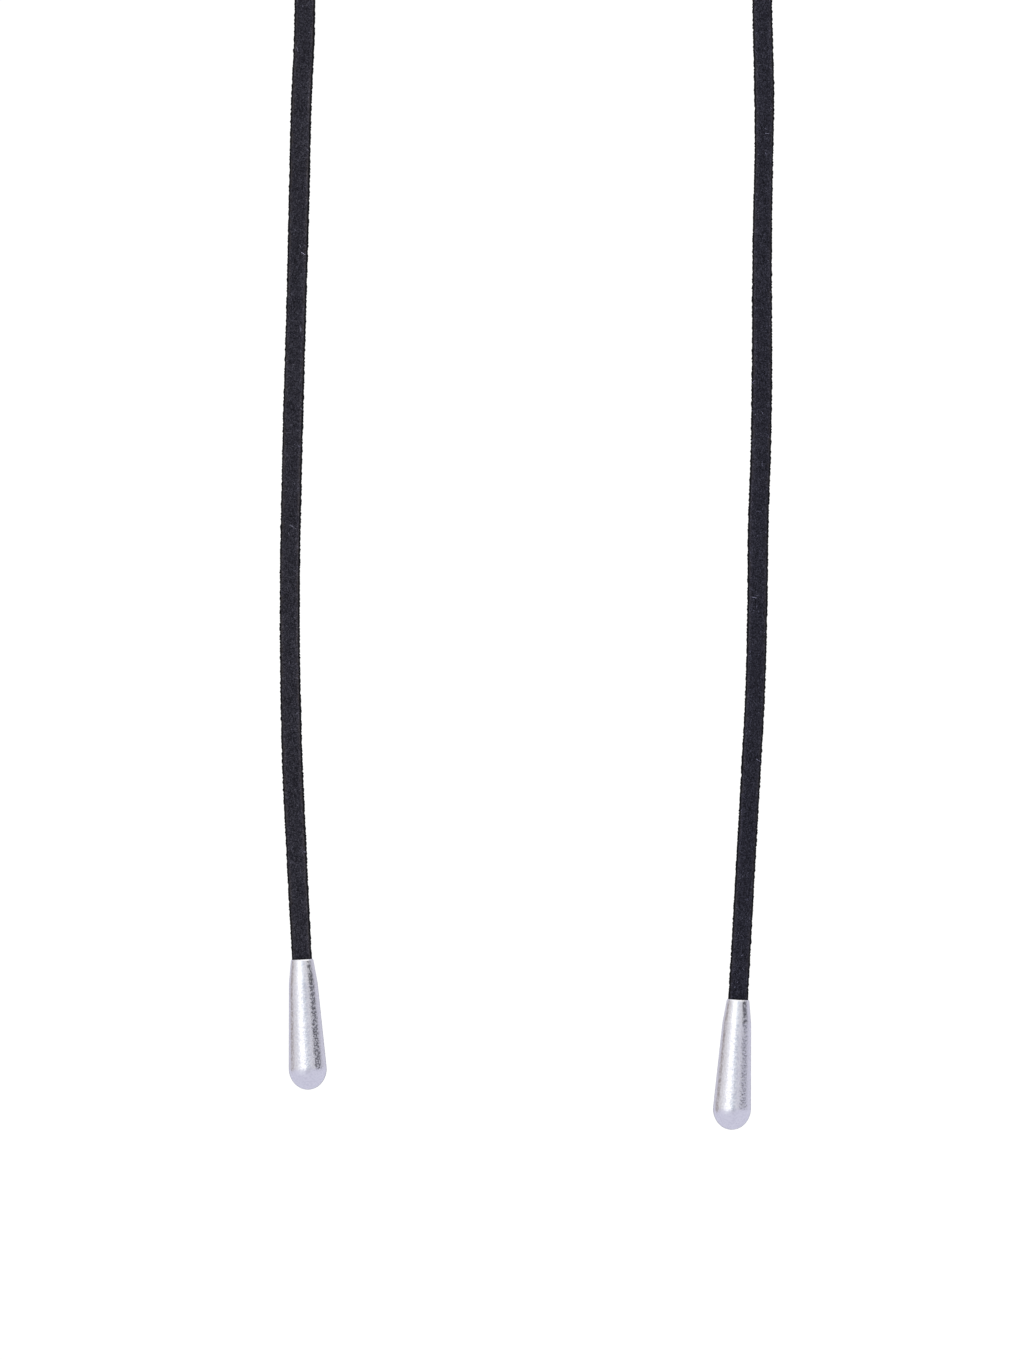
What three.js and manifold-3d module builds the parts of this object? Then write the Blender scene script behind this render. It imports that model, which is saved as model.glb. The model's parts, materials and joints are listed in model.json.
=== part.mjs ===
// Suede cord choker: a flat suede cord that hangs round the neck, with a turned metal cap on each free end.
// Millimetres. +Z is up, the wearer faces -Y, and +X is to the right seen from the front. The origin is the
// middle of the cord's inner face at the nape, where the cord lies on the neck.

import * as THREE from "three";
import { mergeVertices } from "three/addons/utils/BufferGeometryUtils.js";
import Module from "manifold-3d";

// The cord: a strip cut from suede, with its long corners a little worn
const CORD_WIDTH = 3.0;
const CORD_THICKNESS = 1.5;
const CORD_CORNER = 0.3;
const CORD_STEPS = 80;

// The cord's two ends: each is pared to a tongue that is glued into its cap
const TONGUE_WIDTH = 1.9;
const TONGUE_THICKNESS = 1.0;
const TONGUE_LENGTH = 7.0;
const TONGUE_ROOT = 2.0;
const SEAT_GAP = 0.3;

// The caps: a steep collar, a slim cone, a short straight band and a round end, with a blind socket
const CAP_LENGTH = 19.0;
const CAP_MOUTH_RADIUS = 1.62;
const CAP_COLLAR_LENGTH = 3.45;
const CAP_COLLAR_RADIUS = 2.09;
const CAP_BALL_RADIUS = 2.76;
const CAP_BALL_HEIGHT = 3.1;
const CAP_BAND_LENGTH = 0.3;
const CAP_SOCKET_RADIUS = 1.4;
const CAP_SOCKET_DEPTH = 7.0;
const CAP_SIDES = 36;
const CAP_BALL_STEPS = 9;

// Where the cord's middle line goes on one side of the neck, from beside the nape to above the collarbone.
// across is the distance from the middle, forth is along Y, and up is along Z. yaw and lift, in degrees, say
// where the cord's outer face looks: yaw 0 is backwards, 90 sideways and 180 forwards; lift is above level.
const NAPE = { across: 0, forth: CORD_THICKNESS / 2, up: 0, yaw: 0, lift: 0 };
const NECK_SIDE = [
  { across: 24.0, forth: -3.5, up: -1.5, yaw: 20, lift: 6 },
  { across: 43.0, forth: -16.0, up: -6.5, yaw: 46, lift: 16 },
  { across: 54.0, forth: -36.0, up: -15.0, yaw: 72, lift: 25 },
  { across: 57.0, forth: -58.0, up: -27.5, yaw: 96, lift: 31 },
  { across: 52.5, forth: -79.0, up: -44.0, yaw: 124, lift: 33 },
  { across: 44.5, forth: -96.0, up: -64.5, yaw: 154, lift: 30 },
  { across: 37.4, forth: -107.5, up: -88.5, yaw: 175, lift: 22 },
];

// The free ends, from the collarbone to just above the caps: they hang down with their faces forwards, unless
// a row says otherwise, and each keeps the slight bends of a cord that has been wound up.
const LEFT_END = [
  { across: 33.2, forth: -113.6, up: -113.5, lift: 10 },
  { across: 32.22, forth: -116.0, up: -140.0 },
  { across: 32.79, forth: -116.2, up: -157.0 },
  { across: 33.2, forth: -116.3, up: -175.0 },
  { across: 34.12, forth: -116.3, up: -209.0 },
  { across: 34.41, forth: -116.3, up: -228.0 },
  { across: 34.13, forth: -116.3, up: -248.0 },
  { across: 33.39, forth: -116.3, up: -265.0 },
  { across: 32.64, forth: -116.4, up: -279.4 },
];
const RIGHT_END = [
  { across: 34.6, forth: -113.6, up: -113.5, lift: 10 },
  { across: 34.42, forth: -116.0, up: -140.0 },
  { across: 34.72, forth: -116.2, up: -155.0 },
  { across: 34.4, forth: -116.3, up: -177.0 },
  { across: 34.38, forth: -116.3, up: -193.0 },
  { across: 34.2, forth: -116.3, up: -206.0 },
  { across: 33.82, forth: -116.3, up: -217.0 },
  { across: 33.7, forth: -116.3, up: -229.0 },
  { across: 33.37, forth: -116.3, up: -241.0 },
  { across: 32.76, forth: -116.3, up: -252.5 },
  { across: 32.0, forth: -116.3, up: -266.0 },
  { across: 30.92, forth: -116.3, up: -285.25 },
];
const HANGING = { yaw: 180, lift: 0 };
const LEFT = -1;
const RIGHT = 1;

const wasm = await Module();
wasm.setup();

// The cord's middle line, with the direction that its outer face looks in at each place.
class FlatCordCurve extends THREE.CatmullRomCurve3 {
  constructor(points, facings) {
    super(points);
    this.facings = new THREE.CatmullRomCurve3(facings);
  }

  // Along the cord, across its width and out of its face, at a share of the cord's length.
  frameAt(share) {
    const along = this.getTangentAt(share);
    const out = this.facings.getPoint(this.getUtoTmapping(share));
    out.addScaledVector(along, -out.dot(along)).normalize();
    const wide = new THREE.Vector3().crossVectors(out, along);
    return { along, wide, out };
  }

  // An extruded section's X lies along the normals, and its Y along the binormals.
  computeFrenetFrames(segments) {
    const frames = Array.from({ length: segments + 1 }, (_, i) => this.frameAt(i / segments));
    return {
      tangents: frames.map((frame) => frame.along),
      normals: frames.map((frame) => frame.wide),
      binormals: frames.map((frame) => frame.out),
    };
  }
}

// A row of the route as a point, on the side that the sign gives.
function pointOf(row, side) {
  return new THREE.Vector3(side * row.across, row.forth, row.up);
}

// The direction that the outer face looks in at a row of the route.
function facingOf(row, side) {
  const yaw = THREE.MathUtils.degToRad(row.yaw);
  const lift = THREE.MathUtils.degToRad(row.lift);
  const level = Math.cos(lift);
  return new THREE.Vector3(side * Math.sin(yaw) * level, Math.cos(yaw) * level, Math.sin(lift));
}

// The whole middle line, from the left cap up, round the back of the neck and down to the right cap.
function cordCurve() {
  const leftRows = [...NECK_SIDE, ...LEFT_END].map((row) => ({ ...HANGING, ...row })).reverse();
  const rightRows = [...NECK_SIDE, ...RIGHT_END].map((row) => ({ ...HANGING, ...row }));
  const stations = [
    ...leftRows.map((row) => ({ row, side: LEFT })),
    { row: NAPE, side: RIGHT },
    ...rightRows.map((row) => ({ row, side: RIGHT })),
  ];
  return new FlatCordCurve(
    stations.map(({ row, side }) => pointOf(row, side)),
    stations.map(({ row, side }) => facingOf(row, side)),
  );
}

// The cord's section: a rectangle with its four corners cut off.
function cordSection() {
  const x = CORD_WIDTH / 2;
  const y = CORD_THICKNESS / 2;
  const c = CORD_CORNER;
  return new THREE.Shape([
    new THREE.Vector2(-x + c, -y),
    new THREE.Vector2(x - c, -y),
    new THREE.Vector2(x, -y + c),
    new THREE.Vector2(x, y - c),
    new THREE.Vector2(x - c, y),
    new THREE.Vector2(-x + c, y),
    new THREE.Vector2(-x, y - c),
    new THREE.Vector2(-x, -y + c),
  ]);
}

// Where one of the cord's ends is, which way it points, and how its width lies.
function cordEnd(curve, share) {
  const { along, wide } = curve.frameAt(share);
  const outward = share > 0 ? along : along.clone().negate();
  return { place: curve.getPointAt(share), outward, wide };
}

// A closed geometry as a solid that can be joined to others.
function solidOf(geometry) {
  const bare = geometry.clone();
  bare.deleteAttribute("normal");
  bare.deleteAttribute("uv");
  const merged = mergeVertices(bare);
  return new wasm.Manifold(
    new wasm.Mesh({
      numProp: 3,
      vertProperties: merged.attributes.position.array,
      triVerts: new Uint32Array(merged.index.array),
    }),
  );
}

// A solid as a geometry again.
function geometryOf(solid) {
  const { vertProperties, triVerts } = solid.getMesh();
  const geometry = new THREE.BufferGeometry();
  geometry.setAttribute("position", new THREE.BufferAttribute(vertProperties, 3));
  geometry.setIndex(new THREE.BufferAttribute(triVerts, 1));
  geometry.computeVertexNormals();
  return geometry;
}

// The pared tongue at one end, rooted inside the full cord and reaching into the cap's socket.
function tongueGeometry(end) {
  const length = TONGUE_ROOT + TONGUE_LENGTH;
  const middle = length / 2 - TONGUE_ROOT;
  const thick = new THREE.Vector3().crossVectors(end.outward, end.wide);
  const placed = new THREE.Matrix4().makeBasis(end.wide, thick, end.outward);
  placed.setPosition(end.place.clone().addScaledVector(end.outward, middle));
  return new THREE.BoxGeometry(TONGUE_WIDTH, TONGUE_THICKNESS, length).applyMatrix4(placed);
}

// The cord with its two tongues, as one solid.
function cordGeometry(curve, ends) {
  const strip = new THREE.ExtrudeGeometry(cordSection(), {
    steps: CORD_STEPS,
    bevelEnabled: false,
    extrudePath: curve,
  });
  const joined = ends.reduce((solid, end) => solid.add(solidOf(tongueGeometry(end))), solidOf(strip));
  return geometryOf(joined);
}

// A cap about its own Y axis, with its mouth at the origin and its round end, drawn out a little, below.
function capGeometry() {
  const ballCentre = CAP_LENGTH - CAP_BALL_HEIGHT;
  const profile = [];
  for (let i = 0; i <= CAP_BALL_STEPS; i += 1) {
    const angle = (i / CAP_BALL_STEPS) * (Math.PI / 2);
    const radius = i === 0 ? 0 : CAP_BALL_RADIUS * Math.sin(angle);
    profile.push(new THREE.Vector2(radius, -ballCentre - CAP_BALL_HEIGHT * Math.cos(angle)));
  }
  profile.push(
    new THREE.Vector2(CAP_BALL_RADIUS, -ballCentre + CAP_BAND_LENGTH),
    new THREE.Vector2(CAP_COLLAR_RADIUS, -CAP_COLLAR_LENGTH),
    new THREE.Vector2(CAP_MOUTH_RADIUS, 0),
    new THREE.Vector2(CAP_SOCKET_RADIUS, 0),
    new THREE.Vector2(CAP_SOCKET_RADIUS, -CAP_SOCKET_DEPTH),
    new THREE.Vector2(0, -CAP_SOCKET_DEPTH),
  );
  return new THREE.LatheGeometry(profile, CAP_SIDES);
}

// A cap on one end of the cord, a small gap away from the full cord and in line with it.
function capMesh(name, geometry, material, end) {
  const mesh = new THREE.Mesh(geometry, material);
  const down = new THREE.Vector3(0, -1, 0);
  mesh.name = name;
  mesh.position.copy(end.place).addScaledVector(end.outward, SEAT_GAP);
  mesh.quaternion.setFromUnitVectors(down, end.outward);
  return mesh;
}

const suede = new THREE.MeshStandardMaterial({ color: "#26262c", roughness: 0.95, metalness: 0 });
const satinSilver = new THREE.MeshStandardMaterial({ color: "#d2d1d8", roughness: 0.3, metalness: 1 });

const curve = cordCurve();
const leftEnd = cordEnd(curve, 0);
const rightEnd = cordEnd(curve, 1);

const cord = new THREE.Mesh(cordGeometry(curve, [leftEnd, rightEnd]), suede);
cord.name = "suede_cord";

const choker = new THREE.Group();
choker.name = "suede_cord_choker";
choker.add(
  cord,
  capMesh("left_end_cap", capGeometry(), satinSilver, leftEnd),
  capMesh("right_end_cap", capGeometry(), satinSilver.clone(), rightEnd),
);

export default choker;
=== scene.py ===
"""The looks of the suede cord choker: a flat suede cord and its two satin silver end caps.

Metres, +Z up. The wearer faces -Y, and +X is to the right seen from the front. The origin is the middle of
the cord's inner face at the nape.
"""

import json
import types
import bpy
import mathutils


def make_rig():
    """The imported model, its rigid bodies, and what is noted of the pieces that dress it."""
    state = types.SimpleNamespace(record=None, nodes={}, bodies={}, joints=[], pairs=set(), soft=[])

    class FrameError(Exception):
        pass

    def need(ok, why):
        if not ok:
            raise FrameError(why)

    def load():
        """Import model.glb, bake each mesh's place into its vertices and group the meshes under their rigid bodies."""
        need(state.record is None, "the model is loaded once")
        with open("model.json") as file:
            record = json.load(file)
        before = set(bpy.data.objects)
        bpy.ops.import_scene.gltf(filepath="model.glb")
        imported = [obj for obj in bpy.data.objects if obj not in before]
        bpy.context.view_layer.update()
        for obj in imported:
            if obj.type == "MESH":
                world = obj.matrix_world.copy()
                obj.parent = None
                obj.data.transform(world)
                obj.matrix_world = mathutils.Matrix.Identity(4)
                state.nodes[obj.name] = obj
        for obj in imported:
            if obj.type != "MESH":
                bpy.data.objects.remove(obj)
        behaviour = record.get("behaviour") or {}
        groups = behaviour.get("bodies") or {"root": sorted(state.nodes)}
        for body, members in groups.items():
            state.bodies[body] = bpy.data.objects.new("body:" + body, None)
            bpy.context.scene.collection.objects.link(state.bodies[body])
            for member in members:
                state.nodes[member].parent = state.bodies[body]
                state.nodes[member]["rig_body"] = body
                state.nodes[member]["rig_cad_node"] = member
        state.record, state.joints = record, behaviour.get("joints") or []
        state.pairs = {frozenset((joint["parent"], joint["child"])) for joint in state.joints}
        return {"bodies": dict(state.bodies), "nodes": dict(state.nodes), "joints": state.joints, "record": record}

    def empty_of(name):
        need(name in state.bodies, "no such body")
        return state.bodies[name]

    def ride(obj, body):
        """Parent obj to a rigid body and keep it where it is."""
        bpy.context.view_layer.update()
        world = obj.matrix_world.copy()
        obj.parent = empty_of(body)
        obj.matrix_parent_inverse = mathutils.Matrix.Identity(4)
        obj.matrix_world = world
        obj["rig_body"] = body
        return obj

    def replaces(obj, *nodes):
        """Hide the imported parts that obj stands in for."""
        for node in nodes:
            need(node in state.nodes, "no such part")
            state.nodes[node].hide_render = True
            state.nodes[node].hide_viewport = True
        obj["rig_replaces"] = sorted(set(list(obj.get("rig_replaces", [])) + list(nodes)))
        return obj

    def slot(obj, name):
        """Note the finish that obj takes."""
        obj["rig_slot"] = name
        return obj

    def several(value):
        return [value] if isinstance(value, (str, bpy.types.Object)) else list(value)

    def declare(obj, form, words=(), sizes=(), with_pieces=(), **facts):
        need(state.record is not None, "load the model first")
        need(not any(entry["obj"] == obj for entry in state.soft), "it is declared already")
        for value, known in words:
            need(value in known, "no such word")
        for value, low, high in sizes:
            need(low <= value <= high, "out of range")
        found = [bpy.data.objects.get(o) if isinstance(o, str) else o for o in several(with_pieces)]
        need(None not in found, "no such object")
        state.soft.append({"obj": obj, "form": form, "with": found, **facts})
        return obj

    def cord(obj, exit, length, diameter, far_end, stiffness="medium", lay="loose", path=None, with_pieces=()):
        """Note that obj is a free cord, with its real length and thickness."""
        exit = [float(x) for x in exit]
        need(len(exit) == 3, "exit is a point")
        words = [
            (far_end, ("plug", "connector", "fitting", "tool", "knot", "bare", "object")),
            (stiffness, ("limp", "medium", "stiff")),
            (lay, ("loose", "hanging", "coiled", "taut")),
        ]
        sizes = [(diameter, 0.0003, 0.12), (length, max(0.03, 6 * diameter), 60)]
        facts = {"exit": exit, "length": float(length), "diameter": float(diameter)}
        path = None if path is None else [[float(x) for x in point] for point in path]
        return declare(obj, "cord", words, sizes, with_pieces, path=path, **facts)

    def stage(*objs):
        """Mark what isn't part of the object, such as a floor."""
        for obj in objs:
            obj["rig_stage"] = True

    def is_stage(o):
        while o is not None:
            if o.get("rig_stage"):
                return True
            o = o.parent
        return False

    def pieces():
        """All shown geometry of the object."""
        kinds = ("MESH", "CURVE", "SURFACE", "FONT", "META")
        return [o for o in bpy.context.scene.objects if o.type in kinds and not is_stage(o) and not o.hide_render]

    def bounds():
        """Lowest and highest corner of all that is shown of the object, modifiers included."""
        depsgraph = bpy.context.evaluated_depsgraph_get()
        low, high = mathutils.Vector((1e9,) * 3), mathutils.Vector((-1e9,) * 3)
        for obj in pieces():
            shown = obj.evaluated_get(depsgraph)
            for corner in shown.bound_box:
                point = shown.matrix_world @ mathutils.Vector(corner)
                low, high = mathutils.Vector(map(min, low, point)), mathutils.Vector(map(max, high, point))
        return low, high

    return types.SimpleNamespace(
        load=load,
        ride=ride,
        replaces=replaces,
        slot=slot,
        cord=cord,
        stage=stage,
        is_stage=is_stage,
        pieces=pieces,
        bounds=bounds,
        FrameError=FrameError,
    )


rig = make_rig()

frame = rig.load()
CAD_LOW, CAD_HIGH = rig.bounds()

import json
import logging
import math
from collections.abc import Callable
from dataclasses import astuple, dataclass, field
from enum import Enum
from functools import partial
from typing import Any

import bpy
import numpy as np
from bpy.types import Material, Node, NodeSocket, NodeTree, Object, World

Array = np.ndarray
Colour = tuple[float, float, float, float]
Stops = list[tuple[float, Colour]]
Tones = tuple[tuple[float, str], ...]

LOG = logging.getLogger("choker")
SIZE_FILE = "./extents.json"
MM = 0.001

# A cap's mouth is this far past the end of the cord's middle line.
SEAT_GAP = 0.3 * MM

# A colour mix node's inputs and its output go by number, because their names aren't theirs alone.
MIX_SHARE, MIX_UNDER, MIX_OVER = 0, 6, 7
MIXED = 2


class Side(Enum):
    """One of the cord's two free ends, as seen from the front."""

    LEFT = "left"
    RIGHT = "right"

    @property
    def sign(self) -> int:
        """Give 1 on the right and -1 on the left."""
        return 1 if self is Side.RIGHT else -1


class Slot(Enum):
    """The record's material slots."""

    SUEDE = "suede"
    CAP_METAL = "cap_metal"


def linear(hex_colour: str, strength: float = 1.0) -> Colour:
    """Turn an sRGB hex value into linear light.

    Args:
        hex_colour: A value such as "#26262c".
        strength: How many times brighter than that it is.

    Returns:
        Linear red, green and blue, and an alpha of 1.
    """
    shares = [int(hex_colour[i : i + 2], 16) / 255 for i in (1, 3, 5)]
    red, green, blue = (s / 12.92 if s <= 0.04045 else ((s + 0.055) / 1.055) ** 2.4 for s in shares)
    return red * strength, green * strength, blue * strength, 1.0


def ramp(tones: Tones) -> Stops:
    """Give a colour ramp's stops for a finish's tones, which are places on it and their hex values."""
    return [(place, linear(hex_colour)) for place, hex_colour in tones]


def add_node(
    tree: NodeTree,
    kind: str,
    inputs: dict[str | int, Any] | None = None,
    stops: Stops | None = None,
    **settings: Any,
) -> Node:
    """Add a node with its settings and links.

    Args:
        tree: The tree that the node goes into.
        kind: Blender's name for the node, after the ShaderNode that it starts with.
        inputs: A number or a colour for each input by name or number, or what it links from: an output, or a
            node for its first one.
        stops: A colour ramp's places and colours, in order.
        settings: The node's own properties.

    Returns:
        The new node.
    """
    node = tree.nodes.new(f"ShaderNode{kind}")
    for name, value in settings.items():
        setattr(node, name, value)
    for key, value in (inputs or {}).items():
        source = value.outputs[0] if isinstance(value, Node) else value
        if isinstance(source, NodeSocket):
            tree.links.new(source, node.inputs[key])
        else:
            node.inputs[key].default_value = source
    for number, (place, colour) in enumerate(stops or []):
        # A new ramp has two stops already.
        elements = node.color_ramp.elements
        stop = elements[number] if number < 2 else elements.new(place)
        stop.position = place
        stop.color = colour
    return node


def node_adder(owner: Material | World) -> Callable[..., Node]:
    """Empty the nodes of a material or a world.

    Args:
        owner: The material or world.

    Returns:
        The function add_node for its own tree.
    """
    owner.use_nodes = True
    owner.node_tree.nodes.clear()
    return partial(add_node, owner.node_tree)


def smooth_step(x: Array) -> Array:
    """Ease from 0 to 1 as x goes from 0 to 1."""
    held = np.clip(x, 0.0, 1.0)
    return held * held * (3 - 2 * held)


def unit(vectors: Array) -> Array:
    """Give each vector a length of one."""
    return vectors / np.linalg.norm(vectors, axis=-1, keepdims=True)


def read_table(rows: list[Any], at: Array) -> list[Array]:
    """Read a table's columns between its rows.

    Args:
        rows: The table, in the order of its first column.
        at: Places in the first column.

    Returns:
        The values of each other column there.
    """
    first, *others = zip(*map(astuple, rows))
    return [np.interp(at, first, column) for column in others]


def read_grid(grid: Array, i: Array, j: Array) -> Array:
    """Read a grid of values between its points; past its last row or column it starts again.

    Args:
        grid: A list of numbers at each row and column.
        i: Places down the rows.
        j: Places along the columns.

    Returns:
        The list of numbers at each place.
    """
    rows, columns, _ = grid.shape
    row, column = np.floor(i).astype(int), np.floor(j).astype(int)
    down, across = (i - row)[..., None], (j - column)[..., None]
    near, far = (
        grid[r % rows, column % columns] * (1 - across) + grid[r % rows, (column + 1) % columns] * across
        for r in (row, row + 1)
    )
    return near * (1 - down) + far * down


def smooth_noise(x: Array, y: Array, seed: int) -> Array:
    """Smooth noise on a plane: seeded numbers at whole places, blended in between.

    Args:
        x: Places along, with one bump a unit.
        y: Places across, with one bump a unit.
        seed: Which noise.

    Returns:
        Values from -1 to 1.
    """
    size = 512
    table = np.random.default_rng(seed).uniform(-1.0, 1.0, (size, size, 1))
    eased = (np.floor(place) + smooth_step(place - np.floor(place)) for place in (x, y))
    return read_grid(table, *eased)[..., 0]


@dataclass
class MeshParts:
    """The points, faces and painted values of a mesh that is put together from several lots."""

    points: list[Array] = field(default_factory=list)
    faces: list[list[int]] = field(default_factory=list)
    values: dict[str, list[Array]] = field(default_factory=dict)
    count: int = 0

    def add(self, points: Array, faces: Array, **values: Array) -> None:
        """Add a lot of points with their faces and a value of each kind for every point.

        Args:
            points: A list or a grid of points.
            faces: One row a face, counted from this lot's first point.
            values: A number or a vector for each point, by name.
        """
        rows = points.reshape(-1, 3)
        self.points.append(rows)
        self.faces.extend((faces + self.count).tolist())
        self.count += len(rows)
        for name, numbers in values.items():
            self.values.setdefault(name, []).append(numbers.astype(np.float32).reshape(len(rows), -1))

    def piece(self, name: str, material: Material) -> Object:
        """Make the mesh object.

        Args:
            name: The piece's name.
            material: The finish of all its faces.

        Returns:
            The object, linked into the scene.
        """
        mesh = bpy.data.meshes.new(name)
        mesh.from_pydata(np.concatenate(self.points).tolist(), [], self.faces)
        for title, lots in self.values.items():
            numbers = np.concatenate(lots)
            vector = numbers.shape[1] == 3
            layer = mesh.attributes.new(title, "FLOAT_VECTOR" if vector else "FLOAT", "POINT")
            layer.data.foreach_set("vector" if vector else "value", numbers.ravel())
        mesh.materials.append(material)
        mesh.shade_smooth()
        mesh.validate()
        piece = bpy.data.objects.new(name, mesh)
        bpy.context.scene.collection.objects.link(piece)
        return piece


@dataclass(frozen=True)
class Mottle:
    """One layer of the suede's mottling: its marks' size on the strip, their slant and the layer's weight."""

    along_mm: float
    across_mm: float
    weight: float
    detail: float = 2.0
    roughness: float = 0.6
    distortion: float = 0.0
    slant_deg: float = 0.0


@dataclass(frozen=True)
class DyedSuede:
    """Dyed suede: a split of hide, buffed to a short nap and cut into strip.

    The eye gets a matt violet-black with no gloss, a little cooler towards one end: curled fibre tips that
    catch some light, streaks where the nap was stroked, soft clouds, a few pinholes, and browner raw hide
    along the cut edges. The nap's tones go from its hollows up to the fibre tips, which are drawn about twice
    as coarse as the real ones so that they show.
    """

    nap: Tones = ((0.49, "#121117"), (0.65, "#2d2c35"), (0.82, "#53525c"))
    raw_edge: str = "#403a35"
    cool_dye: str = "#f0f3ff"
    sheen: str = "#8c8ba3"
    clouds: Mottle = Mottle(2.4, 2.4, weight=0.14, detail=3.0)
    streaks: Mottle = Mottle(0.70, 0.20, weight=0.22, roughness=0.55, slant_deg=32.0)
    curls: Mottle = Mottle(0.17, 0.17, weight=0.94, distortion=0.8)
    pinhole_apart_mm: float = 3.4
    pinhole_core_mm: float = 0.102
    pinhole_rim_mm: float = 0.238
    pinhole_tone: float = 0.3
    relief_mm: float = 0.06

    def material(self) -> Material:
        """Make the suede.

        Returns:
            The material, which reads a strip's place, tone, rawness and coolness from its mesh.
        """
        material = bpy.data.materials.new("dyed_suede")
        add = node_adder(material)
        strip = add("Attribute", attribute_name="strip_mm").outputs["Vector"]
        tone, raw, cool = (
            add("Attribute", attribute_name=name).outputs["Fac"] for name in ("tone", "raw", "cool")
        )
        mottled: Any = 0.0
        for layer in (self.clouds, self.streaks, self.curls):
            slant = (0.0, 0.0, math.radians(layer.slant_deg))
            scale = (1 / layer.along_mm, 1 / layer.across_mm, 1.0)
            marks = add("Mapping", {"Vector": strip, "Rotation": slant, "Scale": scale})
            noise = add("TexNoise", {
                "Vector": marks,
                "Scale": 1.0,
                "Detail": layer.detail,
                "Roughness": layer.roughness,
                "Distortion": layer.distortion,
            })
            mottled = add("Math", {0: noise, 1: layer.weight, 2: mottled}, operation="MULTIPLY_ADD")
        colour: Any = add("ValToRGB", {"Fac": mottled}, ramp(self.nap))
        for blend, share, over in (("MIX", raw, self.raw_edge), ("MULTIPLY", cool, self.cool_dye)):
            mixing = {MIX_SHARE: share, MIX_UNDER: colour, MIX_OVER: linear(over)}
            colour = add("Mix", mixing, data_type="RGBA", blend_type=blend).outputs[MIXED]
        apart = self.pinhole_apart_mm
        pinholes = add("TexVoronoi", {"Vector": strip, "Scale": 1 / apart})
        pricked = add("MapRange", {
            "Value": pinholes,
            "From Min": self.pinhole_core_mm / apart,
            "From Max": self.pinhole_rim_mm / apart,
            "To Min": self.pinhole_tone,
        })
        shaded = add("Math", {0: tone, 1: pricked}, operation="MULTIPLY")
        toned = add("VectorMath", {0: colour, "Scale": shaded}, operation="SCALE")
        bump = add("Bump", {"Strength": 0.7, "Distance": self.relief_mm * MM, "Height": mottled})
        surface = add("BsdfPrincipled", {
            "Base Color": toned,
            "Roughness": 0.92,
            "Specular IOR Level": 0.15,
            "Sheen Weight": 0.06,
            "Sheen Roughness": 0.5,
            "Sheen Tint": linear(self.sheen),
            "Normal": bump,
        })
        add("OutputMaterial", {"Surface": surface})
        return material


@dataclass(frozen=True)
class TumbledAluminium:
    """Aluminium: turned from bar, then tumbled to a silver satin.

    The eye gets a pale metal with soft-edged bands of reflected light, and a sheen that changes from speck to
    speck. The tumbled cone breaks the bands up into a fine speckle, the turned collar into faint rings, and
    the round end is smooth. The speckle is drawn about twice as coarse as the real one so that it shows.
    """

    specks: Tones = ((0.30, "#e6e5e9"), (0.62, "#f1f0f2"))
    speckle_mm: float = 0.28
    ring_mm: float = 0.30
    ring_marks_per_mm: float = 0.35
    low_relief: float = 0.48
    high_relief: float = 0.60
    low_roughness: float = 0.28
    high_roughness: float = 0.46
    relief_mm: float = 0.028

    def material(self) -> Material:
        """Make the metal.

        Returns:
            The material, which reads a cap's place and how tumbled and turned it is from its mesh.
        """
        material = bpy.data.materials.new("tumbled_aluminium")
        add = node_adder(material)
        place = add("Attribute", attribute_name="cap_mm").outputs["Vector"]
        tumbled, turned = (
            add("Attribute", attribute_name=name).outputs["Fac"] for name in ("tumbled", "turned")
        )
        speckle = add("TexNoise", {"Vector": place, "Scale": 1 / self.speckle_mm, "Detail": 0.5})
        around = self.ring_marks_per_mm
        drawn_out = add("Mapping", {"Vector": place, "Scale": (around, around, 1 / self.ring_mm)})
        rings = add("TexNoise", {"Vector": drawn_out, "Scale": 1.0, "Detail": 1.0})
        colour = add("ValToRGB", {"Fac": speckle}, ramp(self.specks))
        relief: Any = 0.0
        for texture, share in ((speckle, tumbled), (rings, turned)):
            relief = add("Math", {0: texture, 1: share, 2: relief}, operation="MULTIPLY_ADD")
        roughness = add("MapRange", {
            "Value": relief,
            "From Min": self.low_relief,
            "From Max": self.high_relief,
            "To Min": self.low_roughness,
            "To Max": self.high_roughness,
        })
        bump = add("Bump", {"Strength": 1.0, "Distance": self.relief_mm * MM, "Height": relief})
        satin = {"Base Color": colour, "Metallic": 1.0, "Roughness": roughness, "Normal": bump}
        surface = add("BsdfPrincipled", satin)
        add("OutputMaterial", {"Surface": surface})
        return material


@dataclass(frozen=True)
class MattPaper:
    """Matt pale paper: the plain floor, with a faint tooth that leaves it even."""

    tooth: Tones = ((0.3, "#f8f7f3"), (0.7, "#faf9f5"))
    tooth_mm: float = 6.0

    def material(self) -> Material:
        """Make the paper.

        Returns:
            The material.
        """
        material = bpy.data.materials.new("matt_paper")
        add = node_adder(material)
        place = add("TexCoord").outputs["Object"]
        noise = add("TexNoise", {"Vector": place, "Scale": 1 / (self.tooth_mm * MM)})
        colour = add("ValToRGB", {"Fac": noise}, ramp(self.tooth))
        surface = add("BsdfPrincipled", {"Base Color": colour, "Roughness": 0.9, "Specular IOR Level": 0.1})
        add("OutputMaterial", {"Surface": surface})
        return material


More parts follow.
